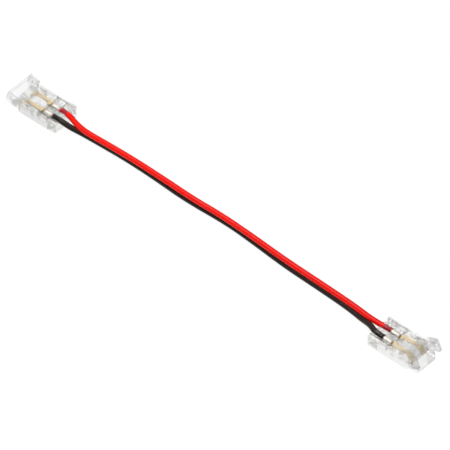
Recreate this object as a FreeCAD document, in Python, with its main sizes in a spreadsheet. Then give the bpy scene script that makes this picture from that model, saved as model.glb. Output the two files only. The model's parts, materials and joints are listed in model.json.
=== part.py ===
import FreeCAD, Part
import math
import os
import re

import Sketcher

# Jumper for two-wire LED strip: a clear snap clip at each end of a short red and black pair.
# Frame: X along the jumper, Z up, origin on the surface midway between the two clips.
# Each clip is drawn in its own frame: x runs from the wire end to the strip end, y across,
# z up from the underside. The right clip keeps that direction, the left one is turned round.

SIZES = {
    "strip_width": (8.0, "width of the LED strip that the tray takes"),
    "strip_play": (0.15, "room on each side of the strip"),
    "clip_gap": (154.7, "between the wire ends of the two clips"),
    "clip_shift": (3.1, "each clip's centre line off the jumper's axis"),
    "clip_height": (5.4, "underside to top"),
    "floor_thickness": (0.8, "under the strip"),
    "tray_wall": (0.65, "side walls of the strip tray"),
    "tray_below": (2.2, "top of the tray walls, below the clip's top"),
    "ledge_drop": (0.5, "ledge along the inside of the tray walls, below their top"),
    "bay_ledge": (0.2, "step from the tray out to the full-height side walls"),
    "side_wall": (1.5, "full-height side walls"),
    "cover_length": (8.8, "wire cover, from the wire end to its seam"),
    "block_length": (4.2, "middle section, from the seam to the strip tray"),
    "tray_length": (9.3, "strip tray, to the strip end"),
    "mouth_length": (4.3, "low-walled stretch of the tray at the strip end"),
    "seam_gap": (0.15, "between the wire cover and the middle section"),
    "seam_below": (1.7, "seam through the wire centres, below the clip's top"),
    "corner_radius": (0.5, "upright corners at the strip end"),
    "edge_radius": (0.25, "top edges of the side walls and ears"),
    "wire_diameter": (2.2, "over the insulation"),
    "wire_pitch": (4.2, "between the wire centres in a clip"),
    "wire_clearance": (0.05, "around each wire in its hole"),
    "wire_depth": (4.0, "insulation held inside the clip"),
    "strands_diameter": (1.1, "bare copper bundle"),
    "strands_beyond": (0.1, "copper past the crimp barrel"),
    "stop_length": (0.2, "web between the insulation's end and the terminal chamber"),
    "chamber_beyond": (0.25, "terminal chamber past the contact's flat step"),
    "chamber_width": (2.5, "terminal chamber, across"),
    "chamber_floor": (1.5, "terminal chamber, underside"),
    "roof_wall": (0.65, "wire cover over the terminal chambers"),
    "window_below": (1.1, "side window below the seam"),
    "window_above": (0.7, "side window above the seam"),
    "arch_wall": (0.5, "cover's shell over each wire"),
    "arch_stop": (1.25, "cover past the end of its wire arches"),
    "valley_below": (1.0, "cover between the arches and rails, below the clip's top"),
    "rail_width": (1.5, "cover's raised side rails"),
    "rail_step": (0.4, "lower step along each rail"),
    "flute_inset": (0.7, "flute along each rail, from the clip's side"),
    "flute_width": (0.22, "flute along each rail"),
    "flute_depth": (0.2, "flute along each rail"),
    "ridge_width": (0.7, "ridge between the arches"),
    "ridge_height": (0.45, "ridge between the arches, above the valley"),
    "ear_proud": (0.4, "cover's snap ears and lid's flaps past the side walls"),
    "ear_length": (3.4, "along the cover's snap ears"),
    "ear_thickness": (1.0, "cover's snap ears"),
    "ear_bottom": (0.3, "lower edge of the snap ears"),
    "ear_bevel": (0.25, "lead-in along the lower edge of the snap ears"),
    "ear_clearance": (0.05, "between ear and housing"),
    "catch_length": (1.1, "ramped nubs that hold the ears and the lid, along the clip"),
    "catch_height": (0.8, "ramped nubs, upward"),
    "catch_clearance": (0.12, "around a nub in its window"),
    "catch_below": (0.6, "nub centres below the tray walls' top"),
    "ear_catch_at": (1.8, "ear nubs from the wire end"),
    "ear_catch_proud": (0.7, "ear nubs out from the wall"),
    "lid_catch_back": (1.8, "lid nubs from the strip end"),
    "dimple_beyond": (2.2, "round dimples of the middle section, from the seam"),
    "dimple_radius": (0.7, "round dimples of the middle section"),
    "dimple_depth": (0.25, "round dimples of the middle section"),
    "guide_below": (0.8, "blocks beside the spring arms, below the clip's top"),
    "groove_clearance": (0.1, "beside the spring arms"),
    "arm_clearance": (0.05, "under the spring arms"),
    "contact_pitch": (5.2, "between the spring arms"),
    "contact_thickness": (0.35, "brass sheet"),
    "leg_clearance": (0.1, "between the cover's end and the upright leg"),
    "leg_bottom": (1.8, "foot of the upright leg"),
    "step_length": (1.1, "contact's flat step over the leg, along the clip"),
    "arm_width": (1.6, "spring arm"),
    "arm_below": (1.2, "level stretch of the spring arm, below the clip's top"),
    "knee_reach": (1.8, "where the spring arm starts down, into the tray"),
    "drop_reach": (4.5, "where it turns down to the strip, into the tray"),
    "drop_depth": (0.6, "how far it has come down there"),
    "toe_reach": (5.55, "where it touches the strip, into the tray"),
    "toe_height": (1.6, "underside of the toe"),
    "toe_tip": (0.45, "upturned tip of the toe"),
    "pad_width": (2.3, "widened end of the spring arm"),
    "pad_reach": (3.2, "where the widened end begins, into the tray"),
    "barrel_clearance": (0.4, "chamber end wall to crimp barrel"),
    "tongue_length": (0.85, "crimp barrel to upright leg"),
    "barrel_slit": (0.3, "open seam of the crimp barrel"),
    "hinge_reach": (1.1, "lid's axis, into the tray"),
    "hinge_below": (0.9, "lid's axis below the clip's top"),
    "hinge_radius": (0.85, "round back of the lid's arms"),
    "pin_radius": (0.5, "lid's pivot pins"),
    "pin_length": (0.8, "lid's pivot pins"),
    "pin_clearance": (0.06, "pivot pins in their holes"),
    "lid_overhang": (0.6, "front edge of the lid past the tray"),
    "lid_thickness": (0.9, "lid's plate"),
    "lid_play": (0.1, "between the lid's sides and the walls"),
    "lid_arm_width": (0.6, "each lid arm"),
    "plate_back": (1.3, "lid's plate between its arms, from the axis"),
    "flap_clearance": (0.3, "side walls' ends to the side flaps"),
    "flap_thickness": (0.9, "side flaps"),
    "flap_bottom": (0.15, "lower edge of the flaps, lid shut"),
    "flap_corner": (0.4, "cut lower corners of the flaps"),
    "lid_edge_radius": (0.35, "lid's front edge and its edges over the flaps"),
    "lip_radius": (0.25, "lower front edge of the lid"),
    "lip_length": (0.7, "thick front edge of the lid"),
    "lip_depth": (0.5, "front edge below the plate"),
    "press_length": (2.0, "pressing feet under the lid"),
    "press_width": (1.3, "pressing feet under the lid"),
    "press_depth": (0.5, "pressing feet under the lid"),
    "press_reach": (2.8, "pressing feet, from the lid's axis"),
    "left_open_angle": (16.5, "how far the left lid stands open, in degrees"),
    "right_open_angle": (24.0, "how far the right lid stands open, in degrees"),
}

# Route of each wire from one clip to the other, in millimetres. The pair stands on edge,
# red on black, and parts before each clip.
RED_ROUTE = [
    (-81.35, 5.2, 3.7), (-76.0, 5.2, 3.7), (-65.0, 3.55, 3.5), (-43.5, 3.6, 3.38),
    (-1.0, 3.3, 3.38), (43.2, 0.95, 3.38), (65.0, 0.1, 3.38), (75.5, -1.0, 3.7),
    (81.35, -1.0, 3.7),
]
BLACK_ROUTE = [
    (-81.35, 1.0, 3.7), (-75.8, 1.0, 3.7), (-67.4, 3.2, 1.13), (-47.2, 3.3, 1.13),
    (-3.2, 3.0, 1.13), (41.3, 0.5, 1.13), (64.9, -0.5, 1.13), (75.2, -5.2, 3.7),
    (81.35, -5.2, 3.7),
]
ARC_SHARE = 0.45

# How far a cutting outline runs past the face that it opens, in millimetres.
PAST = 1.0

# How far an added form starts inside the wall that it stands on, in millimetres.
INTO_WALL = 0.2

# Two places nearer than this are the same place, in millimetres.
SAME_PLACE = 1e-4

# Places along a clip, from its wire end.
TRAY_START = "( cover_length + block_length )"
STRIP_END = f"( {TRAY_START} + tray_length )"
WALL_END = f"( {STRIP_END} - mouth_length )"
CHAMBER_START = "( wire_depth + stop_length )"
BARREL_START = f"( {CHAMBER_START} + barrel_clearance )"
LEG = "( cover_length - seam_gap + leg_clearance )"
STEP_END = f"( {LEG} + step_length )"
CHAMBER_END = f"( {STEP_END} + chamber_beyond )"
BARREL_END = f"( {LEG} - tongue_length )"
HINGE = f"( {TRAY_START} + hinge_reach )"
CATCH = f"( {STRIP_END} - lid_catch_back )"

# Places across a clip, from its centre line.
TRAY_INSIDE = "( strip_width / 2 + strip_play )"
TRAY_OUTSIDE = f"( {TRAY_INSIDE} + tray_wall )"
HALF_BAY = f"( {TRAY_INSIDE} + bay_ledge )"
HALF_BODY = f"( {HALF_BAY} + side_wall )"
HALF_EARS = f"( {HALF_BODY} + ear_proud )"
FLAP_INSIDE = f"( {HALF_EARS} - flap_thickness )"
EAR_SEAT = f"( {HALF_EARS} - ear_thickness - ear_clearance )"
ARM_OUTSIDE = "( contact_pitch / 2 + arm_width / 2 + groove_clearance )"
CHAMBER_INSIDE = "( wire_pitch / 2 - chamber_width / 2 )"
CHAMBER_OUTSIDE = f"max(wire_pitch / 2 + chamber_width / 2; {ARM_OUTSIDE})"

# Heights above the underside.
TRAY_TOP = "( clip_height - tray_below )"
CATCH_HEIGHT = f"( {TRAY_TOP} - catch_below )"
SEAM = "( clip_height - seam_below )"
ARM_TOP = "( clip_height - arm_below )"
UNDER_ARM = f"( {ARM_TOP} - contact_thickness )"
HINGE_HEIGHT = "( clip_height - hinge_below )"
WIRE_CENTRES = [("wire_pitch / 2", SEAM), ("-1 * wire_pitch / 2", SEAM)]

doc = FreeCAD.newDocument("strip_jumper")
sheet = doc.addObject("Spreadsheet::Sheet", "sizes")
for row, (alias, (value, note)) in enumerate(SIZES.items(), start=1):
    sheet.set(f"A{row}", note)
    sheet.set(f"B{row}", str(value))
    sheet.setAlias(f"B{row}", alias)
doc.recompute()

made = []


def size(alias):
    """A driving size as the sheet now holds it."""
    return float(sheet.get(alias))


def linked(text):
    """Turn plain size names into references to the sheet."""
    return re.sub("[a-z_]+", lambda word: f"sizes.{word[0]}" if word[0] in SIZES else word[0],
                  text)


def worked_out(text):
    """The present value of a length written with size names."""
    return float(sheet.evalExpression(linked(text)))


def place_in(body, role):
    return next(item for item in body.Origin.OriginFeatures if item.Role == role)


def new_sketch(body, plane, offset, name):
    """An empty sketch on one of the body's own planes, moved along that plane's normal."""
    sketch = body.newObject("Sketcher::SketchObject", name)
    sketch.AttachmentSupport = (place_in(body, plane), [""])
    sketch.MapMode = "FlatFace"
    if offset:
        sketch.setExpression("AttachmentOffset.Base.z", linked(offset))
    return sketch


def pin_down(sketch, kind, geometry, point, text):
    """Tie one coordinate of a sketch point to an expression of the sizes."""
    value = sketch.evalExpression(linked(text))
    index = sketch.addConstraint(Sketcher.Constraint(kind, -1, 1, geometry, point, value))
    sketch.setExpression(f"Constraints[{index}]", linked(text))


def polygons(body, plane, offset, loops, name):
    """A sketch of closed outlines whose corners are expressions of the sizes."""
    sketch = new_sketch(body, plane, offset, name)
    for corners in loops:
        first = sketch.GeometryCount
        spots = [FreeCAD.Vector(*[sketch.evalExpression(linked(word)) for word in corner], 0)
                 for corner in corners]
        for here, there in zip(spots, spots[1:] + spots[:1]):
            sketch.addGeometry(Part.LineSegment(here, there), False)
        for step, (across, up) in enumerate(corners):
            follower = first + (step + 1) % len(corners)
            sketch.addConstraint(Sketcher.Constraint("Coincident", first + step, 2, follower, 1))
            pin_down(sketch, "DistanceX", first + step, 1, across)
            pin_down(sketch, "DistanceY", first + step, 1, up)
    return sketch


def circles(body, plane, offset, centres, radius, name):
    """A sketch of equal circles."""
    sketch = new_sketch(body, plane, offset, name)
    for across, up in centres:
        middle = FreeCAD.Vector(sketch.evalExpression(linked(across)),
                                sketch.evalExpression(linked(up)), 0)
        start = sketch.evalExpression(linked(radius))
        ring = sketch.addGeometry(Part.Circle(middle, FreeCAD.Vector(0, 0, 1), start), False)
        pin_down(sketch, "DistanceX", ring, 3, across)
        pin_down(sketch, "DistanceY", ring, 3, up)
        index = sketch.addConstraint(Sketcher.Constraint("Radius", ring, start))
        sketch.setExpression(f"Constraints[{index}]", linked(radius))
    return sketch


def rectangle(x_low, x_high, y_low, y_high):
    return [(x_low, y_low), (x_high, y_low), (x_high, y_high), (x_low, y_high)]


def both_sides(x_low, x_high, y_low, y_high):
    """One rectangle on each side of the clip's centre line."""
    return [rectangle(x_low, x_high, y_low, y_high),
            rectangle(x_low, x_high, f"-1 * ( {y_high} )", f"-1 * ( {y_low} )")]


def grow(body, kind, sketch, length, reverse, name):
    """A pad or a pocket. length None cuts right through, and 'both' goes each way equally."""
    before = body.Shape.Volume if body.Tip else 0.0
    feature = body.newObject(kind, name)
    feature.Profile = sketch
    if length is None:
        feature.Type = "ThroughAll"
    else:
        feature.setExpression("Length", linked(length))
    if reverse == "both":
        feature.SideType = "Symmetric"
    else:
        feature.Reversed = reverse
    sketch.Visibility = False
    doc.recompute()
    change = body.Shape.Volume - before
    if (change > 0) != (kind == "PartDesign::Pad") or abs(change) < 1e-6:
        raise RuntimeError(f"{body.Label}: {name} changes the volume by {change:.5f}")
    return feature


def pad(body, sketch, length, name, reverse=False):
    return grow(body, "PartDesign::Pad", sketch, length, reverse, name)


def pocket(body, sketch, length, name, reverse=False):
    return grow(body, "PartDesign::Pocket", sketch, length, reverse, name)


def round_edges(body, radius, chosen, name):
    """Round the edges of the body's last feature that the test picks."""
    tip = body.Tip
    names = [f"Edge{number}" for number, edge in enumerate(tip.Shape.Edges, start=1)
             if chosen(edge)]
    fillet = body.newObject("PartDesign::Fillet", name)
    fillet.Base = (tip, names)
    fillet.setExpression("Radius", linked(radius))
    doc.recompute()
    return fillet


def edges_at(**places):
    """A test for edges that lie wholly at the given x, y or z, on either side of zero."""
    wanted = {name: worked_out(text) for name, text in places.items()}

    def chosen(edge):
        box = edge.BoundBox
        spans = {"x": (box.XMin, box.XMax), "y": (box.YMin, box.YMax), "z": (box.ZMin, box.ZMax)}
        return all(spans[name][1] - spans[name][0] < SAME_PLACE
                   and abs(abs(spans[name][0]) - place) < SAME_PLACE
                   for name, place in wanted.items())
    return chosen


def any_of(*tests):
    """A test that picks what any of the given tests picks."""
    return lambda edge: any(test(edge) for test in tests)


def new_body(label, placement):
    body = doc.addObject("PartDesign::Body", label)
    body.Label = label
    body.Placement = placement
    made.append(body)
    return body


def wire_holes(body):
    """The two round holes that the insulation lies in, half of each in either shell."""
    holes = circles(body, "YZ_Plane", "", WIRE_CENTRES, "wire_diameter / 2 + wire_clearance",
                    "wire_hole_outline")
    pocket(body, holes, CHAMBER_START, "wire_holes", reverse=True)


def terminal_chambers(body, bottom, top):
    """A hollow round each crimp barrel, and out to the far edge of its spring arm."""
    outline = polygons(body, "XY_Plane", bottom, both_sides(
        CHAMBER_START, CHAMBER_END, CHAMBER_INSIDE, CHAMBER_OUTSIDE),
        "chamber_outline")
    pocket(body, outline, f"{top} - ( {bottom} )", "terminal_chambers", reverse=True)


def side_windows(body, bottom, top):
    """An opening in each side wall that shows the crimp."""
    outline = polygons(body, "XY_Plane", bottom, both_sides(
        BARREL_START, BARREL_END, "wire_pitch / 2", f"{HALF_BODY} + {PAST}"),
        "window_outline")
    pocket(body, outline, f"{top} - ( {bottom} )", "side_windows", reverse=True)


def ramped_nubs(body, middle, wall, tip, name):
    """A nub on each side that ramps out from the wall to its tip at the foot."""
    foot = f"{CATCH_HEIGHT} - catch_height / 2"
    head = f"{CATCH_HEIGHT} + catch_height / 2"
    outlines = [[(f"{side} * ( {wall} - {INTO_WALL} )", foot), (f"{side} * ( {tip} )", foot),
                 (f"{side} * {wall}", head), (f"{side} * ( {wall} - {INTO_WALL} )", head)]
                for side in (1, -1)]
    ramps = polygons(body, "YZ_Plane", f"{middle} - catch_length / 2", outlines,
                     f"{name}_outline")
    pad(body, ramps, "catch_length", name)


def catch_windows(body, middle, name):
    """The openings on both sides that snap over a pair of ramped nubs."""
    half_length = "( catch_length / 2 + catch_clearance )"
    half_height = "( catch_height / 2 + catch_clearance )"
    outline = polygons(body, "XZ_Plane", "", [rectangle(
        f"{middle} - {half_length}", f"{middle} + {half_length}",
        f"{CATCH_HEIGHT} - {half_height}", f"{CATCH_HEIGHT} + {half_height}")],
        f"{name}_outline")
    pocket(body, outline, f"2 * {HALF_EARS} + {PAST}", name, reverse="both")


def housing(label, placement):
    """Lower shell: wire bed, terminal chambers, hinge walls and the open strip tray."""
    body = new_body(label, placement)
    side = polygons(body, "XZ_Plane", "", [[
        ("0", "0"), (STRIP_END, "0"), (STRIP_END, f"{TRAY_TOP} - tray_wall"),
        (f"{STRIP_END} - tray_wall", TRAY_TOP), (WALL_END, TRAY_TOP),
        (WALL_END, "clip_height"), ("cover_length", "clip_height"),
        ("cover_length", SEAM), ("0", SEAM)]], "side_outline")
    pad(body, side, f"2 * {HALF_BODY}", "block", reverse="both")
    narrow = polygons(body, "XY_Plane", "", both_sides(
        WALL_END, f"{STRIP_END} + {PAST}", TRAY_OUTSIDE,
        f"{HALF_BODY} + {PAST}"), "tray_sides")
    pocket(body, narrow, None, "narrow_tray", reverse=True)
    round_edges(body, "corner_radius", edges_at(x=STRIP_END, y=TRAY_OUTSIDE), "tray_corners")
    round_edges(body, "edge_radius", any_of(
        edges_at(y=HALF_BODY, z="clip_height"), edges_at(x=WALL_END, y=HALF_BODY)),
        "wall_edges")
    ear_slots = polygons(body, "XY_Plane", "", both_sides(
        f"-{PAST}", "ear_length + ear_clearance", EAR_SEAT, f"{HALF_BODY} + {PAST}"),
        "ear_slots")
    pocket(body, ear_slots, None, "ear_seats", reverse=True)
    ramped_nubs(body, "ear_catch_at", EAR_SEAT, f"{EAR_SEAT} + ear_catch_proud", "ear_nubs")
    ramped_nubs(body, CATCH, TRAY_OUTSIDE, f"{FLAP_INSIDE} - catch_clearance", "lid_nubs")
    tray = polygons(body, "XY_Plane", "floor_thickness", [rectangle(
        TRAY_START, f"{STRIP_END} + {PAST}", f"-1 * {TRAY_INSIDE}", TRAY_INSIDE)],
        "tray_outline")
    pocket(body, tray, "clip_height", "strip_tray", reverse=True)
    bay = polygons(body, "XY_Plane", f"{TRAY_TOP} - ledge_drop", [rectangle(
        TRAY_START, f"{STRIP_END} + {PAST}", f"-1 * {HALF_BAY}", HALF_BAY)], "bay_outline")
    pocket(body, bay, "clip_height", "lid_bay", reverse=True)
    guides = polygons(body, "XY_Plane", "clip_height - guide_below", [rectangle(
        f"cover_length - {PAST}", f"{TRAY_START} + {PAST}", f"-1 * {HALF_BAY}",
        HALF_BAY)], "guide_outline")
    pocket(body, guides, "clip_height", "guide_blocks", reverse=True)
    groove_in = "contact_pitch / 2 - arm_width / 2 - groove_clearance"
    groove_out = "contact_pitch / 2 + arm_width / 2 + groove_clearance"
    grooves = polygons(body, "XY_Plane", f"{UNDER_ARM} - arm_clearance", both_sides(
        f"cover_length - {PAST}", f"{TRAY_START} + {PAST}", groove_in, groove_out),
        "arm_grooves")
    pocket(body, grooves, "clip_height", "arm_channels", reverse=True)
    wire_holes(body)
    terminal_chambers(body, "chamber_floor", "clip_height")
    side_windows(body, f"{SEAM} - window_below", SEAM)
    for edge, name in ((1, "near"), (-1, "far")):
        dimple = circles(body, "XZ_Plane", f"{edge} * ( {HALF_BODY} - dimple_depth )",
                         [("cover_length + dimple_beyond", CATCH_HEIGHT)],
                         "dimple_radius", f"{name}_dimple_outline")
        pocket(body, dimple, f"dimple_depth + {PAST}", f"{name}_dimple", reverse=edge > 0)
    bores = circles(body, "XZ_Plane", "", [(HINGE, HINGE_HEIGHT)],
                    "pin_radius + pin_clearance", "pivot_outline")
    pocket(body, bores, f"2 * ( {HALF_BAY} + pin_length )", "pivot_holes", reverse="both")
    return body


def wire_cover(label, placement):
    """Upper shell over the wires: two arches, stepped side rails and a snap ear each side."""
    body = new_body(label, placement)
    rail = f"{HALF_BODY} - rail_width"
    flute = f"{HALF_BODY} - flute_inset"
    valley = "clip_height - valley_below"
    section = [(HALF_BODY, SEAM), (HALF_BODY, "clip_height"), (flute, "clip_height"),
               (flute, "clip_height - flute_depth"),
               (f"{flute} - flute_width", "clip_height - flute_depth"),
               (f"{flute} - flute_width", "clip_height"),
               (f"{rail} + rail_step", "clip_height"),
               (f"{rail} + rail_step", "clip_height - rail_step"),
               (rail, "clip_height - rail_step"), (rail, valley),
               ("ridge_width / 2", valley), ("ridge_width / 2", f"{valley} + ridge_height")]
    mirrored = [(f"-1 * ( {across} )", up) for across, up in reversed(section)]
    slab = polygons(body, "YZ_Plane", "", [section + mirrored], "end_outline")
    pad(body, slab, "cover_length - seam_gap", "slab")
    round_edges(body, "edge_radius", edges_at(y=HALF_BODY, z="clip_height"), "rail_edges")
    arches = circles(body, "YZ_Plane", "", WIRE_CENTRES, "wire_diameter / 2 + arch_wall",
                     "arch_outline")
    pad(body, arches, "cover_length - seam_gap - arch_stop", "arches")
    below = polygons(body, "XY_Plane", SEAM, [rectangle(
        f"-{PAST}", "cover_length", f"-1 * {HALF_BODY}", HALF_BODY)], "below_seam")
    pocket(body, below, "clip_height", "flat_seam")
    ear_in = f"( {HALF_EARS} - ear_thickness )"
    bevel_in = f"( {HALF_EARS} - ear_bevel )"
    ears = polygons(body, "YZ_Plane", "", [
        [(ear_in, "ear_bottom"), (bevel_in, "ear_bottom"),
         (HALF_EARS, "ear_bottom + ear_bevel"), (HALF_EARS, "clip_height"),
         (ear_in, "clip_height")],
        [(f"-1 * {ear_in}", "ear_bottom"), (f"-1 * {ear_in}", "clip_height"),
         (f"-1 * {HALF_EARS}", "clip_height"),
         (f"-1 * {HALF_EARS}", "ear_bottom + ear_bevel"),
         (f"-1 * {bevel_in}", "ear_bottom")]], "ear_outline")
    pad(body, ears, "ear_length", "ears")
    round_edges(body, "edge_radius", any_of(
        edges_at(y=HALF_EARS, z="clip_height"), edges_at(x="0", y=HALF_EARS),
        edges_at(x="ear_length", y=HALF_EARS)), "ear_edges")
    wire_holes(body)
    terminal_chambers(body, SEAM, "clip_height - roof_wall")
    side_windows(body, SEAM, f"{SEAM} + window_above")
    catch_windows(body, "ear_catch_at", "ear_windows")
    return body


def lid(label, placement):
    """Strip cover, drawn shut: plate on two pivot arms, side flaps and pressing feet."""
    body = new_body(label, placement)
    inside = f"( {HALF_BAY} - lid_play )"
    under = "clip_height - lid_thickness"
    front = f"( {STRIP_END} + lid_overhang )"
    flap_start = f"( {WALL_END} + flap_clearance )"
    plate_outline = [(HINGE, inside), (flap_start, inside), (flap_start, HALF_EARS),
                     (front, HALF_EARS)]
    mirrored = [(along, f"-1 * ( {across} )") for along, across in reversed(plate_outline)]
    plate = polygons(body, "XY_Plane", under, [plate_outline + mirrored], "plate_outline")
    pad(body, plate, "lid_thickness", "plate")
    barrel = circles(body, "XZ_Plane", "", [(HINGE, HINGE_HEIGHT)],
                     "hinge_radius", "barrel_outline")
    pad(body, barrel, f"2 * {inside}", "barrel", reverse="both")
    pins = circles(body, "XZ_Plane", "", [(HINGE, HINGE_HEIGHT)],
                   "pin_radius", "pin_outline")
    pad(body, pins, f"2 * ( {inside} + pin_length )", "pins", reverse="both")
    gap = polygons(body, "XY_Plane", "", [rectangle(
        f"{HINGE} - 2 * hinge_radius", f"{HINGE} + plate_back",
        f"-1 * ( {inside} - lid_arm_width )", f"{inside} - lid_arm_width")], "gap_outline")
    pocket(body, gap, None, "gap_between_arms", reverse=True)
    flaps = polygons(body, "XZ_Plane", "", [[
        (flap_start, "clip_height"), (flap_start, "flap_bottom + flap_corner"),
        (f"{flap_start} + flap_corner", "flap_bottom"),
        (f"{front} - flap_corner", "flap_bottom"),
        (front, "flap_bottom + flap_corner"), (front, "clip_height")]], "flap_outline")
    pad(body, flaps, f"2 * {HALF_EARS}", "flap_block", reverse="both")
    round_edges(body, "lid_edge_radius", any_of(
        edges_at(x=front, z="clip_height"), edges_at(y=HALF_EARS, z="clip_height")),
        "lid_edges")
    mouth = polygons(body, "XY_Plane", under, [rectangle(
        f"{flap_start} - {PAST}", f"{front} - lip_length", f"-1 * {FLAP_INSIDE}",
        FLAP_INSIDE)], "mouth_outline")
    pocket(body, mouth, "clip_height", "mouth")
    lip = polygons(body, "XY_Plane", f"{under} - lip_depth", [rectangle(
        f"{front} - lip_length - {PAST}", f"{front} + {PAST}", f"-1 * {FLAP_INSIDE}",
        FLAP_INSIDE)], "lip_outline")
    pocket(body, lip, "clip_height", "front_lip")
    round_edges(body, "lip_radius", edges_at(x=front, z=f"{under} - lip_depth"), "lip_edge")
    foot_in = "contact_pitch / 2 - press_width / 2"
    feet = polygons(body, "XY_Plane", under, both_sides(
        f"{HINGE} + press_reach", f"{HINGE} + press_reach + press_length", foot_in,
        f"{foot_in} + press_width"), "feet_outline")
    pad(body, feet, "press_depth", "pressing_feet", reverse=True)
    catch_windows(body, CATCH, "flap_windows")
    return body


def contact(label, placement, side):
    """Stamped brass terminal: crimp barrel, broad leg, flat step and a bent spring arm."""
    body = new_body(label, placement)
    centre = f"{side} * contact_pitch / 2"
    wire_centre = f"{side} * wire_pitch / 2"
    drop_height = f"( {ARM_TOP} - drop_depth )"
    leg_back = f"( {LEG} + contact_thickness )"
    knee = f"( {TRAY_START} + knee_reach )"
    drop = f"( {TRAY_START} + drop_reach )"
    toe = f"( {TRAY_START} + toe_reach )"
    arm = polygons(body, "XZ_Plane", f"-1 * ( {centre} )", [[
        (LEG, "leg_bottom"), (leg_back, "leg_bottom"), (leg_back, UNDER_ARM),
        (knee, UNDER_ARM), (f"{drop} - contact_thickness", f"{drop_height} - contact_thickness"),
        (f"{toe} - contact_thickness", "toe_height"), (toe, "toe_height"),
        (f"{toe} + toe_tip", "toe_height + toe_tip"),
        (f"{toe} + toe_tip - contact_thickness / 2",
         "toe_height + toe_tip + contact_thickness / 2"),
        (toe, "toe_height + contact_thickness"), (drop, drop_height),
        (knee, ARM_TOP), (LEG, ARM_TOP)]], "arm_outline")
    pad(body, arm, "pad_width", "arm", reverse="both")
    waist = "pad_width / 2 - arm_width / 2"
    widens = f"( {TRAY_START} + pad_reach )"
    trims = []
    for edge in (1, -1):
        outer = f"{centre} + {edge} * ( pad_width / 2 + {PAST} )"
        inner = f"{centre} + {edge} * arm_width / 2"
        rim = f"{centre} + {edge} * pad_width / 2"
        trims.append([(f"{LEG} - {PAST}", outer), (f"{LEG} - {PAST}", inner),
                      (widens, inner), (f"{widens} + {waist}", rim),
                      (f"{widens} + {waist}", outer)])
    plan = polygons(body, "XY_Plane", "", trims, "waist_outline")
    pocket(body, plan, None, "waist", reverse=True)
    bore = "strands_diameter / 2 + wire_clearance"
    near_wire = f"{wire_centre} - {side} * arm_width / 2"
    near_arm = f"{centre} + {side} * arm_width / 2"
    tongue = polygons(body, "XY_Plane", f"{SEAM} - ( {bore} ) - contact_thickness", [[
        (f"{BARREL_END} - contact_thickness", near_wire), (leg_back, near_wire),
        (leg_back, near_arm), (f"{BARREL_END} - contact_thickness", near_arm)]],
        "tongue_outline")
    pad(body, tongue, "contact_thickness", "tongue")
    inmost = f"{side} * ( {CHAMBER_INSIDE} + groove_clearance )"
    shoulder = polygons(body, "YZ_Plane", LEG, [[
        (inmost, f"{SEAM} - ( {bore} )"), (near_arm, f"{SEAM} - ( {bore} )"),
        (near_arm, ARM_TOP), (inmost, ARM_TOP)]], "shoulder_outline")
    pad(body, shoulder, "contact_thickness", "shoulder")
    step = polygons(body, "XY_Plane", UNDER_ARM, [rectangle(
        LEG, STEP_END, inmost, near_arm)], "step_outline")
    pad(body, step, "contact_thickness", "step")
    barrel = circles(body, "YZ_Plane", BARREL_START, [(wire_centre, SEAM)],
                     f"{bore} + contact_thickness", "barrel_outline")
    pad(body, barrel, f"{BARREL_END} - {BARREL_START}", "barrel")
    hole = circles(body, "YZ_Plane", BARREL_START, [(wire_centre, SEAM)],
                   bore, "hole_outline")
    pocket(body, hole, f"{BARREL_END} - {BARREL_START}", "barrel_hole", reverse=True)
    slit = polygons(body, "XY_Plane", SEAM, [rectangle(
        BARREL_START, BARREL_END, f"{wire_centre} - barrel_slit / 2",
        f"{wire_centre} + barrel_slit / 2")], "slit_outline")
    pocket(body, slit, "clip_height", "barrel_seam", reverse=True)
    return body


def strands(label, placement, side):
    """Bared copper bundle between the insulation and the crimp."""
    rod = doc.addObject("Part::Cylinder", label)
    rod.Label = label
    rod.setExpression("Radius", linked("strands_diameter / 2"))
    rod.setExpression("Height", linked(f"{BARREL_END} + strands_beyond - wire_depth"))
    start = FreeCAD.Vector(size("wire_depth"), side * size("wire_pitch") / 2,
                           worked_out(SEAM))
    along = FreeCAD.Rotation(FreeCAD.Vector(0, 1, 0), 90)
    rod.Placement = placement.multiply(FreeCAD.Placement(start, along))
    made.append(rod)
    return rod


def wire_path(points):
    """Straight runs joined by tangent arcs, each arc as large as its two runs allow."""
    spots = [FreeCAD.Vector(*point) for point in points]
    edges = []
    radii = []
    here = spots[0]
    for before, corner, after in zip(spots, spots[1:], spots[2:]):
        back = (before - corner).normalize()
        ahead = (after - corner).normalize()
        shorter = min((before - corner).Length, (after - corner).Length)
        reach = ARC_SHARE * shorter
        half_turn = (math.pi - back.getAngle(ahead)) / 2
        radius = reach / math.tan(half_turn)
        radii.append(radius)
        arc_start = corner + back * reach
        arc_end = corner + ahead * reach
        inward = (back + ahead).normalize()
        middle = corner + inward * (radius / math.cos(half_turn) - radius)
        edges.append(Part.LineSegment(here, arc_start).toShape())
        edges.append(Part.Arc(arc_start, middle, arc_end).toShape())
        here = arc_end
    edges.append(Part.LineSegment(here, spots[-1]).toShape())
    return Part.Wire(edges), radii


def insulated_wire(label, points):
    """One insulated wire, from inside one clip to inside the other."""
    path, radii = wire_path(points)
    radius = size("wire_diameter") / 2
    start = FreeCAD.Vector(*points[0])
    heading = FreeCAD.Vector(*points[1]) - start
    ring = Part.Wire([Part.makeCircle(radius, start, heading)])
    tube = doc.addObject("Part::Feature", label)
    tube.Label = label
    tube.Shape = path.makePipeShell([ring], True, False)
    tube.Placement = FreeCAD.Placement()
    made.append(tube)
    expected = math.pi * radius ** 2 * path.Length
    print(label, "length", round(path.Length, 2), "volume over section times length",
          round(tube.Shape.Volume / expected, 4))
    print(label, "arc radii", [round(value, 1) for value in radii])
    return tube


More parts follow.
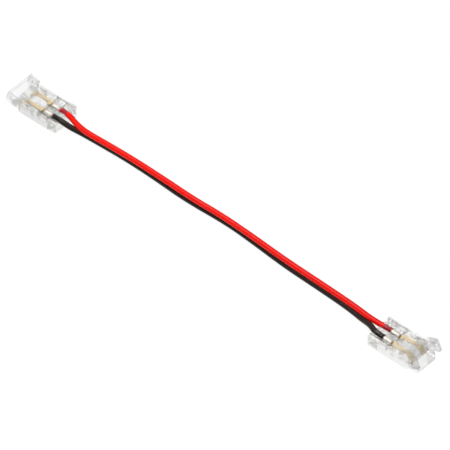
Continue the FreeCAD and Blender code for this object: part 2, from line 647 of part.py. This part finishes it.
def clip(letter, placement, red_side, open_angle):
    """Everything in one clip. red_side is the side of its own frame that takes the red wire."""
    housing(f"housing_{letter}", placement)
    wire_cover(f"wire_cover_{letter}", placement)
    axis = FreeCAD.Vector(worked_out(HINGE), 0, worked_out(HINGE_HEIGHT))
    opened = FreeCAD.Placement(FreeCAD.Vector(),
                               FreeCAD.Rotation(FreeCAD.Vector(0, -1, 0), size(open_angle)),
                               axis)
    lid(f"lid_{letter}", placement.multiply(opened))
    for colour, side in (("red", red_side), ("black", -red_side)):
        contact(f"{colour}_contact_{letter}", placement, side)
        strands(f"{colour}_strands_{letter}", placement, side)


upward = FreeCAD.Vector(0, 0, 1)
left_end = FreeCAD.Vector(-size("clip_gap") / 2, size("clip_shift"), 0)
right_end = FreeCAD.Vector(size("clip_gap") / 2, -size("clip_shift"), 0)
clip("a", FreeCAD.Placement(left_end, FreeCAD.Rotation(upward, 180)), -1, "left_open_angle")
clip("b", FreeCAD.Placement(right_end, FreeCAD.Rotation(upward, 0)), 1, "right_open_angle")
insulated_wire("red_wire", RED_ROUTE)
insulated_wire("black_wire", BLACK_ROUTE)
doc.recompute()

for item in doc.Objects:
    if "Invalid" in item.State or "Error" in item.State:
        raise RuntimeError(f"{item.Label} is {item.State}")
os.makedirs("parts", exist_ok=True)
for item in made:
    if item.Shape.isNull() or not item.Shape.isValid() or len(item.Shape.Solids) != 1:
        raise RuntimeError(f"{item.Label} isn't one sound solid")
    item.Shape.exportStep(f"parts/{item.Label}.step")
print(len(made), "sub-parts written")
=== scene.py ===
import json
import math

import bpy
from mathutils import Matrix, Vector


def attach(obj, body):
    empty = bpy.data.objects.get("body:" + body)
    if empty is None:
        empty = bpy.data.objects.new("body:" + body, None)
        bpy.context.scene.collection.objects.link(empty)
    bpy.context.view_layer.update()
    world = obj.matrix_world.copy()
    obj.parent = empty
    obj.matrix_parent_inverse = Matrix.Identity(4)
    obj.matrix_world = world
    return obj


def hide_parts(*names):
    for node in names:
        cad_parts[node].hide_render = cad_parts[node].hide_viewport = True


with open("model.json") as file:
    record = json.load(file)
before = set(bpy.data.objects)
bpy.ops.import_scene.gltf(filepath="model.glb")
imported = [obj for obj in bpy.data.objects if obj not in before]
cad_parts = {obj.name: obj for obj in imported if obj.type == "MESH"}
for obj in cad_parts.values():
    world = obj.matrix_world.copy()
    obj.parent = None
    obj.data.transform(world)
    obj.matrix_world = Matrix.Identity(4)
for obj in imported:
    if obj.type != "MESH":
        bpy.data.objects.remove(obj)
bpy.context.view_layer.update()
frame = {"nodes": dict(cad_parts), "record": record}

MM = 0.001

# Jumper for LED strip: a clear snap clip at each end of a red and black wire pair.
WIRE_DIAMETER = 2.2 * MM
CLIP_GAP = 154.7 * MM
CLIP_FACE = CLIP_GAP / 2

# Each wire's route from clip to clip, in millimetres.
RED_ROUTE = [
    (-81.35, 5.2, 3.7), (-77.3, 5.2, 3.7), (-72.6, 3.6, 3.58), (-67.3, 2.85, 3.38), (-59.0, 3.2, 3.38),
    (-45.0, 3.6, 3.38), (-28.0, 3.25, 3.38), (-15.5, 2.7, 3.38), (-2.0, 3.1, 3.38), (13.0, 2.4, 3.38),
    (30.0, 1.15, 3.38), (47.0, 0.65, 3.38), (63.5, 0.0, 3.38), (71.0, -1.0, 3.68), (76.0, -1.0, 3.7),
    (81.35, -1.0, 3.7),
]
BLACK_ROUTE = [
    (-81.35, 1.0, 3.7), (-77.3, 1.0, 3.7), (-73.8, 1.7, 2.4), (-69.7, 3.15, 1.13), (-60.0, 3.6, 1.13),
    (-47.5, 3.95, 1.13), (-34.0, 3.6, 1.13), (-18.5, 2.6, 1.13), (0.5, 3.35, 1.13), (14.0, 2.4, 1.13),
    (30.0, 0.85, 1.13), (47.0, 0.3, 1.13), (58.0, -0.2, 1.13), (63.8, -0.75, 1.13), (68.4, -1.7, 1.5),
    (73.6, -3.15, 3.1), (77.5, -5.2, 3.7), (81.35, -5.2, 3.7),
]

# Camera: where the photograph was taken from.
CAMERA_AZIMUTH = math.radians(41.2)
CAMERA_ELEVATION = math.radians(45.09)
CAMERA_DISTANCE = 2520 * MM
AIM_RIGHT = 1.868 * MM
AIM_UP = 1.513 * MM
SENSOR_WIDTH = 36.0
SEEN_WIDTH = 161.35 * MM

# The clear plastic: mould marks, grey edge lines painted in as shade, and the share of light that goes
# straight through.
FLOW_MARK = 1.4 * MM
EDGE_RADIUS = 0.17 * MM
EDGE_PAINTED_SHADE = 0.9
EDGE_STARTS = 0.995
EDGE_FULL = 0.85
CLEAR_SHARE = 0.62

# The terminals: roll lines, coarser than real ones so that they show, and a tin plated crimp end.
ROLL_LINE = 0.2 * MM
TINNED_END = 8.3 * MM
TIN_FADE = 0.3 * MM

# The wires: copper strands, the insulation's skin, and where the painted shade on the insulation inside
# the clip starts.
STRAND = 0.25 * MM
STRAND_LAY = math.radians(18)
SKIN_GRAIN = 0.6 * MM
CLIP_SHADE_START = 0.6 * MM
CLIP_SHADE_FADE = 0.3 * MM

# Studio.
GROUND_REACH = 3.0
GROUND_GLOW = 0.94
FILL = 1.0
SOFTBOX_SIZE = 0.26
SOFTBOX_PLACE = (-0.13, -0.03, 0.42)
SOFTBOX_WATTS = 1.4


def linear(hex_colour):
    """Linear RGBA of an sRGB hex colour."""
    channels = []
    for start in (1, 3, 5):
        value = int(hex_colour[start:start + 2], 16) / 255
        channels.append(value / 12.92 if value <= 0.04045 else ((value + 0.055) / 1.055) ** 2.4)
    return (*channels, 1.0)


def add_node(tree, kind, settings=None, links=None):
    """Add a node with its settings and the links into it, its inputs given by name or number."""
    node = tree.nodes.new(kind)
    for key, value in (settings or {}).items():
        if isinstance(key, int) or key in node.inputs:
            node.inputs[key].default_value = value
        else:
            setattr(node, key, value)
    for key, source in (links or {}).items():
        tree.links.new(source, node.inputs[key])
    return node


def new_material(name):
    """An empty node material, and its tree."""
    material = bpy.data.materials.new(name)
    material.use_nodes = True
    material.node_tree.nodes.clear()
    return material, material.node_tree


def clear_polycarbonate(name, tint):
    """Clear polycarbonate from a polished mould: crisp and colourless, with painted shade as fine grey
    lines along its edges.
    """
    material, tree = new_material(name)
    place = add_node(tree, "ShaderNodeTexCoord")
    flow = add_node(tree, "ShaderNodeTexNoise", {"Scale": 1 / FLOW_MARK, "Detail": 2.0},
                    {"Vector": place.outputs["Object"]})
    sink = add_node(tree, "ShaderNodeBump", {"Strength": 0.03, "Distance": 0.05 * MM},
                    {"Height": flow.outputs["Fac"]})
    polish = add_node(tree, "ShaderNodeMapRange", {"To Min": 0.02, "To Max": 0.05},
                      {"Value": flow.outputs["Fac"]})
    # Polycarbonate's IOR is 1.58. It is lowered until the brass shows as straight as in the photograph.
    glassy = add_node(tree, "ShaderNodeBsdfPrincipled", {
        "Base Color": linear(tint), "IOR": 1.2, "Transmission Weight": 1.0},
        {"Roughness": polish.outputs["Result"], "Normal": sink.outputs["Normal"]})
    # Part of the light goes straight through, and all of a shadow ray, so the ground stays pale.
    straight = add_node(tree, "ShaderNodeBsdfTransparent", {"Color": linear(tint)})
    rays = add_node(tree, "ShaderNodeLightPath")
    through = add_node(tree, "ShaderNodeMath", {"operation": "MAXIMUM", 1: CLEAR_SHARE},
                       {0: rays.outputs["Is Shadow Ray"]})
    body = add_node(tree, "ShaderNodeMixShader", links={
        0: through.outputs["Value"], 1: glassy.outputs["BSDF"], 2: straight.outputs["BSDF"]})
    # Painted shade: a grey line is painted along each edge, found where the rounded normal turns away
    # from the surface's own.
    corner = add_node(tree, "ShaderNodeBevel", {"samples": 4, "Radius": EDGE_RADIUS})
    surface = add_node(tree, "ShaderNodeNewGeometry")
    turned = add_node(tree, "ShaderNodeVectorMath", {"operation": "DOT_PRODUCT"},
                      {0: corner.outputs["Normal"], 1: surface.outputs["Normal"]})
    edge = add_node(tree, "ShaderNodeMapRange", {
        "From Min": EDGE_STARTS, "From Max": EDGE_FULL, "To Max": EDGE_PAINTED_SHADE},
        {"Value": turned.outputs["Value"]})
    # Painted shade: a grey see-through layer that darkens the plastic along each edge.
    painted_edge_shade = add_node(tree, "ShaderNodeBsdfTransparent", {"Color": linear("#6E6E6D")})
    with_painted_edges = add_node(tree, "ShaderNodeMixShader", links={
        0: edge.outputs["Result"], 1: body.outputs["Shader"], 2: painted_edge_shade.outputs["BSDF"]})
    add_node(tree, "ShaderNodeOutputMaterial", links={"Surface": with_painted_edges.outputs["Shader"]})
    return material


def rolled_brass():
    """Stamped brass strip: satin roll lines along it, and a pale tin plated crimp end."""
    material, tree = new_material("rolled_brass")
    place = add_node(tree, "ShaderNodeTexCoord")
    stretched = add_node(tree, "ShaderNodeMapping", {"Scale": (0.05, 1.0, 1.0)},
                         {"Vector": place.outputs["Object"]})
    lines = add_node(tree, "ShaderNodeTexNoise", {"Scale": 1 / ROLL_LINE, "Detail": 3.0},
                     {"Vector": stretched.outputs["Vector"]})
    groove = add_node(tree, "ShaderNodeBump", {"Strength": 0.3, "Distance": 0.01 * MM},
                      {"Height": lines.outputs["Fac"]})
    split = add_node(tree, "ShaderNodeSeparateXYZ", links={0: place.outputs["Object"]})
    along = add_node(tree, "ShaderNodeMath", {"operation": "ABSOLUTE"}, {0: split.outputs["X"]})
    bare = add_node(tree, "ShaderNodeMapRange", {
        "From Min": CLIP_FACE + TINNED_END, "From Max": CLIP_FACE + TINNED_END + TIN_FADE},
        {"Value": along.outputs["Value"]})
    metal = add_node(tree, "ShaderNodeMix", {
        "data_type": "RGBA", 6: linear("#D0CDC7"), 7: linear("#D3C3A2")}, {0: bare.outputs["Result"]})
    # Dull tin looks flatter than the bare brass beside it.
    lustre = add_node(tree, "ShaderNodeMapRange", {"To Min": 0.4, "To Max": 1.0},
                      {"Value": bare.outputs["Result"]})
    shader = add_node(tree, "ShaderNodeBsdfPrincipled", {"Roughness": 0.5}, {
        "Base Color": metal.outputs[2], "Metallic": lustre.outputs["Result"],
        "Normal": groove.outputs["Normal"]})
    add_node(tree, "ShaderNodeOutputMaterial", links={"Surface": shader.outputs["BSDF"]})
    return material


def bare_copper():
    """Bare copper strands: pale drawn wires twisted into one bundle."""
    material, tree = new_material("bare_copper")
    place = add_node(tree, "ShaderNodeTexCoord")
    laid = add_node(tree, "ShaderNodeMapping", {"Rotation": (0, 0, STRAND_LAY)},
                    {"Vector": place.outputs["Object"]})
    # A wave texture's bands lie pi / 10 / scale apart.
    strands = add_node(tree, "ShaderNodeTexWave", {
        "bands_direction": "Y", "Scale": math.pi / 10 / STRAND}, {"Vector": laid.outputs["Vector"]})
    round_wires = add_node(tree, "ShaderNodeBump", {"Strength": 0.8, "Distance": 0.06 * MM},
                           {"Height": strands.outputs["Fac"]})
    # Painted shade: the strands are darker in the grooves between them and paler on their crests,
    # following the bump.
    groove_shaded_tone = add_node(tree, "ShaderNodeMix", {
        "data_type": "RGBA", 6: linear("#DDA888"), 7: linear("#F6D8C4")}, {0: strands.outputs["Fac"]})
    # Paler and less metallic than real copper, which shows as a dark band inside the clear clip.
    shader = add_node(tree, "ShaderNodeBsdfPrincipled", {"Metallic": 0.6, "Roughness": 0.4}, {
        "Base Color": groove_shaded_tone.outputs[2], "Normal": round_wires.outputs["Normal"]})
    add_node(tree, "ShaderNodeOutputMaterial", links={"Surface": shader.outputs["BSDF"]})
    return material


def wire_insulation(name, colour, shaded_in_clip):
    """Extruded PVC insulation: even colour, one soft streak from the lamp, and painted shade inside the
    clip.
    """
    material, tree = new_material(name)
    place = add_node(tree, "ShaderNodeTexCoord")
    skin = add_node(tree, "ShaderNodeTexNoise", {"Scale": 1 / SKIN_GRAIN, "Detail": 3.0},
                    {"Vector": place.outputs["Object"]})
    grain = add_node(tree, "ShaderNodeBump", {"Strength": 0.03, "Distance": 0.03 * MM},
                     {"Height": skin.outputs["Fac"]})
    gloss = add_node(tree, "ShaderNodeMapRange", {"To Min": 0.28, "To Max": 0.32},
                     {"Value": skin.outputs["Fac"]})
    split = add_node(tree, "ShaderNodeSeparateXYZ", links={0: place.outputs["Object"]})
    along = add_node(tree, "ShaderNodeMath", {"operation": "ABSOLUTE"}, {0: split.outputs["X"]})
    # Painted shade: the insulation turns darker where it runs inside the clip.
    inside = add_node(tree, "ShaderNodeMapRange", {
        "From Min": CLIP_FACE + CLIP_SHADE_START, "From Max": CLIP_FACE + CLIP_SHADE_START + CLIP_SHADE_FADE},
        {"Value": along.outputs["Value"]})
    pigment = add_node(tree, "ShaderNodeMix", {
        "data_type": "RGBA", 6: linear(colour), 7: linear(shaded_in_clip)}, {0: inside.outputs["Result"]})
    shader = add_node(tree, "ShaderNodeBsdfPrincipled", {"IOR": 1.53, "Specular IOR Level": 0.14}, {
        "Base Color": pigment.outputs[2], "Roughness": gloss.outputs["Result"],
        "Normal": grain.outputs["Normal"]})
    add_node(tree, "ShaderNodeOutputMaterial", links={"Surface": shader.outputs["BSDF"]})
    return material


def insulated_wire(name, route, material, slot):
    """One smooth insulated wire on its route, from inside one clip to inside the other."""
    curve = bpy.data.curves.new(name, "CURVE")
    curve.dimensions = "3D"
    curve.bevel_depth = WIRE_DIAMETER / 2
    curve.bevel_resolution = 10
    curve.resolution_u = 24
    curve.use_fill_caps = True
    spline = curve.splines.new("NURBS")
    spline.points.add(len(route) - 1)
    for point, place in zip(spline.points, route):
        point.co = (*(value * MM for value in place), 1.0)
    spline.order_u = 3
    spline.use_endpoint_u = True
    wire = bpy.data.objects.new(name, curve)
    bpy.context.scene.collection.objects.link(wire)
    curve.materials.append(material)
    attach(wire, "jumper")
    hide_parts(slot[0])


def white_ground():
    """Pale studio ground, white to the camera, in metal and through clear plastic, with soft shadows."""
    material, tree = new_material("white_ground")
    rays = add_node(tree, "ShaderNodeLightPath")
    seen = add_node(tree, "ShaderNodeMath", {"operation": "MAXIMUM"}, {
        0: rays.outputs["Is Camera Ray"], 1: rays.outputs["Is Glossy Ray"]})
    shown = add_node(tree, "ShaderNodeMath", {"operation": "MAXIMUM"}, {
        0: seen.outputs["Value"], 1: rays.outputs["Is Transmission Ray"]})
    paper = add_node(tree, "ShaderNodeBsdfDiffuse", {"Color": linear("#E6E6E6")})
    grey_paper = add_node(tree, "ShaderNodeBsdfDiffuse", {"Color": linear("#4C4C4C")})
    glow = add_node(tree, "ShaderNodeEmission", {"Color": (1, 1, 1, 1), "Strength": GROUND_GLOW})
    white = add_node(tree, "ShaderNodeAddShader", links={
        0: grey_paper.outputs["BSDF"], 1: glow.outputs["Emission"]})
    surface = add_node(tree, "ShaderNodeMixShader", links={
        0: shown.outputs["Value"], 1: paper.outputs["BSDF"], 2: white.outputs["Shader"]})
    add_node(tree, "ShaderNodeOutputMaterial", links={"Surface": surface.outputs["Shader"]})
    mesh = bpy.data.meshes.new("ground")
    mesh.from_pydata([(-GROUND_REACH, -GROUND_REACH, 0), (GROUND_REACH, -GROUND_REACH, 0),
                      (GROUND_REACH, GROUND_REACH, 0), (-GROUND_REACH, GROUND_REACH, 0)],
                     [], [(0, 1, 2, 3)])
    ground = bpy.data.objects.new("ground", mesh)
    bpy.context.scene.collection.objects.link(ground)
    mesh.materials.append(material)


def studio_light():
    """A light tent, open and darker at the front, and one broad soft lamp over it."""
    world = bpy.data.worlds.new("studio")
    bpy.context.scene.world = world
    world.use_nodes = True
    tree = world.node_tree
    tree.nodes.clear()
    place = add_node(tree, "ShaderNodeTexCoord")
    split = add_node(tree, "ShaderNodeSeparateXYZ", links={0: place.outputs["Generated"]})
    rays = add_node(tree, "ShaderNodeLightPath")
    # The light that falls on the object: most from above and from the front.
    fill_height = add_node(tree, "ShaderNodeMapRange", {
        "From Max": 0.55, "To Min": 0.3, "To Max": FILL}, {"Value": split.outputs["Z"]})
    fill_front = add_node(tree, "ShaderNodeMapRange", {
        "From Min": -0.4, "From Max": 0.4, "To Min": 1.0, "To Max": 0.2},
        {"Value": split.outputs["Y"]})
    fill_level = add_node(tree, "ShaderNodeMath", {"operation": "MULTIPLY"}, {
        0: fill_height.outputs["Result"], 1: fill_front.outputs["Result"]})
    fill = add_node(tree, "ShaderNodeBackground", links={"Strength": fill_level.outputs["Value"]})
    # What gloss mirrors: bright walls behind, and a dark opening at the front.
    wall_height = add_node(tree, "ShaderNodeMapRange", {
        "From Max": 0.5, "To Min": 0.35, "To Max": 1.0}, {"Value": split.outputs["Z"]})
    wall_front = add_node(tree, "ShaderNodeMapRange", {
        "From Min": -0.45, "From Max": 0.3, "To Min": 0.08, "To Max": 1.0},
        {"Value": split.outputs["Y"]})
    wall_level = add_node(tree, "ShaderNodeMath", {"operation": "MULTIPLY"}, {
        0: wall_height.outputs["Result"], 1: wall_front.outputs["Result"]})
    walls = add_node(tree, "ShaderNodeBackground", links={"Strength": wall_level.outputs["Value"]})
    mirrored = add_node(tree, "ShaderNodeMixShader", links={
        0: rays.outputs["Is Glossy Ray"], 1: fill.outputs["Background"],
        2: walls.outputs["Background"]})
    # What the camera and the clear plastic show behind the object: white.
    tent_level = add_node(tree, "ShaderNodeMapRange", {
        "From Max": 0.3, "To Min": 0.7, "To Max": 1.0}, {"Value": split.outputs["Z"]})
    tent = add_node(tree, "ShaderNodeBackground", links={"Strength": tent_level.outputs["Result"]})
    shown = add_node(tree, "ShaderNodeMath", {"operation": "MAXIMUM"}, {
        0: rays.outputs["Is Camera Ray"], 1: rays.outputs["Is Transmission Ray"]})
    surface = add_node(tree, "ShaderNodeMixShader", links={
        0: shown.outputs["Value"], 1: mirrored.outputs["Shader"], 2: tent.outputs["Background"]})
    add_node(tree, "ShaderNodeOutputWorld", links={"Surface": surface.outputs["Shader"]})
    lamp = bpy.data.lights.new("softbox", "AREA")
    lamp.shape = "SQUARE"
    lamp.size = SOFTBOX_SIZE
    lamp.energy = SOFTBOX_WATTS
    softbox = bpy.data.objects.new("softbox", lamp)
    softbox.location = SOFTBOX_PLACE
    softbox.rotation_euler = softbox.location.to_track_quat("Z", "Y").to_euler()
    bpy.context.scene.collection.objects.link(softbox)


def photo_camera():
    """The camera at the photograph's angle and distance."""
    sin_a, cos_a = math.sin(CAMERA_AZIMUTH), math.cos(CAMERA_AZIMUTH)
    sin_e, cos_e = math.sin(CAMERA_ELEVATION), math.cos(CAMERA_ELEVATION)
    back = Vector((sin_a * cos_e, -cos_a * cos_e, sin_e))
    right = Vector((cos_a, sin_a, 0))
    up = Vector((-sin_a * sin_e, cos_a * sin_e, cos_e))
    data = bpy.data.cameras.new("camera")
    data.sensor_width = SENSOR_WIDTH
    data.lens = SENSOR_WIDTH * CAMERA_DISTANCE / SEEN_WIDTH
    camera = bpy.data.objects.new("camera", data)
    camera.location = right * AIM_RIGHT + up * AIM_UP + back * CAMERA_DISTANCE
    camera.rotation_euler = (-back).to_track_quat("-Z", "Y").to_euler()
    bpy.context.scene.collection.objects.link(camera)
    bpy.context.scene.camera = camera


bpy.context.scene.view_settings.view_transform = "Standard"
photo_camera()
white_ground()
studio_light()

finishes = {
    "clear_polycarbonate": clear_polycarbonate("clear_polycarbonate", "#FEFEFD"),
    "brass_strip": rolled_brass(),
    "copper_strands": bare_copper(),
    # The second colour of each insulation is painted shade, for the part inside the clip.
    "red_pvc": wire_insulation("red_pvc", "#EC1203", "#8A0A20"),
    "black_pvc": wire_insulation("black_pvc", "#2A221E", "#141210"),
}
insulated_wire("red_lead", RED_ROUTE, finishes["red_pvc"], ("red_wire", "red_pvc"))
insulated_wire("black_lead", BLACK_ROUTE, finishes["black_pvc"],
               ("black_wire", "black_pvc"))
lid_plastic = clear_polycarbonate("clear_lid_polycarbonate", "#F9F9F9")
for entry in frame["record"]["subparts"]:
    node = frame["nodes"][entry["node"]]
    node.data.materials.clear()
    is_lid = entry["node"].startswith("lid_")
    node.data.materials.append(lid_plastic if is_lid else finishes[entry["material_slot"]])
